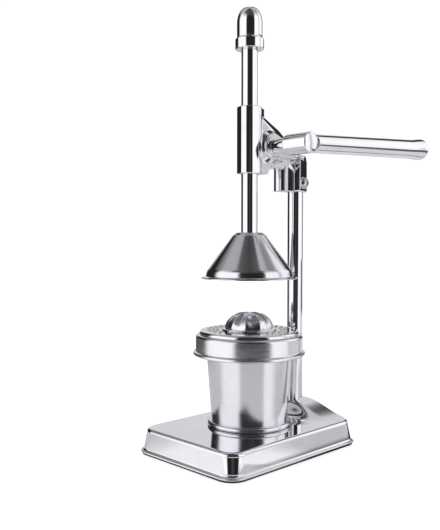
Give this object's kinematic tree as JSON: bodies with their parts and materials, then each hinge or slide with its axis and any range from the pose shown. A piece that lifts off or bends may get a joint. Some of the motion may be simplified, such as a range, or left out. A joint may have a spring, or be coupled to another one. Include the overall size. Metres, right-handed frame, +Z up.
{
  "type": "citrus press juicer",
  "caption": "Hand-lever citrus press of polished steel: a geared lever drives a press cone down onto a reamer over a strainer and a lift-out juice cup, on a humped rectangular base.",
  "frame": {"origin": "on the table plane, straight under the press rod and the middle of the juice cup", "axes": "+Z up, +Y back towards the column, +X towards the lever's side; the lever at rest runs back along +Y"},
  "size_m": [0.15, 0.359, 0.479],
  "materials": {
    "polished_steel": "mirror-polished stainless steel with faint micro-scratches",
    "plated_casting": "polished and chrome-plated casting",
    "brushed_steel": "fine spun and brushed stainless steel",
    "steel_hardware": "satin zinc-plated steel",
    "zinc_steel": "dull zinc-plated sheet",
    "cast_alloy": "rough cast",
    "dark_steel": "oiled hardened steel",
    "bronze": "sintered bronze",
    "nylon": "natural nylon",
    "rubber": "matte black rubber"
  },
  "bodies": {
    "frame": {"base_shell": "polished_steel", "base_plate": "zinc_steel", "rubber_foot_ring": "rubber", "foot_screws": "steel_hardware", "column_seat": "cast_alloy", "column": "polished_steel", "column_washer": "steel_hardware", "column_bolt": "steel_hardware", "head_casting": "plated_casting", "clamp_screw": "steel_hardware", "lower_rod_bush": "nylon", "upper_rod_bush": "nylon", "gear_cover": "plated_casting", "cover_screws": "steel_hardware", "front_shaft_bush": "plated_casting", "rear_shaft_bush": "bronze"},
    "lever": {"pinion_shaft": "steel_hardware", "pinion_key": "dark_steel", "pinion_gear": "dark_steel", "pinion_spacer": "dark_steel", "shaft_clip": "dark_steel", "lever_hub": "plated_casting", "hub_set_screw": "dark_steel", "lever_stud": "steel_hardware", "lever_grip": "polished_steel"},
    "press": {"rack_rod": "polished_steel", "rod_cap": "polished_steel", "press_cone": "polished_steel", "cone_washer": "steel_hardware", "cone_bolt": "steel_hardware"},
    "cup": {"juice_cup": "brushed_steel"},
    "collar": {"bowl_collar": "brushed_steel"},
    "strainer": {"strainer": "polished_steel"},
    "reamer": {"reamer": "brushed_steel"}
  },
  "joints": [
    {"name": "lever_turn", "type": "hinge", "parent": "frame", "child": "lever", "pos_m": [0, 0.0228, 0.3306], "axis": [1, 0, 0], "range_deg": [-45, 180]},
    {"name": "press_slide", "type": "slide", "parent": "frame", "child": "press", "axis": [0, 0, -1], "range_m": [-0.012, 0.0475]},
    {"name": "cup_slide", "type": "slide", "parent": "frame", "child": "cup", "axis": [0, -1, 0], "range_m": [0, 0.115]},
    {"name": "collar_lift", "type": "slide", "parent": "cup", "child": "collar", "axis": [0, 0, 1], "range_m": [0, 0.04]},
    {"name": "strainer_lift", "type": "slide", "parent": "collar", "child": "strainer", "axis": [0, 0, 1], "range_m": [0, 0.04]},
    {"name": "reamer_lift", "type": "slide", "parent": "strainer", "child": "reamer", "axis": [0, 0, 1], "range_m": [0, 0.04]}
  ],
  "couplings": [
    {"joint": "press_slide", "follows": "lever_turn", "m_per_rad": 0.015}
  ]
}
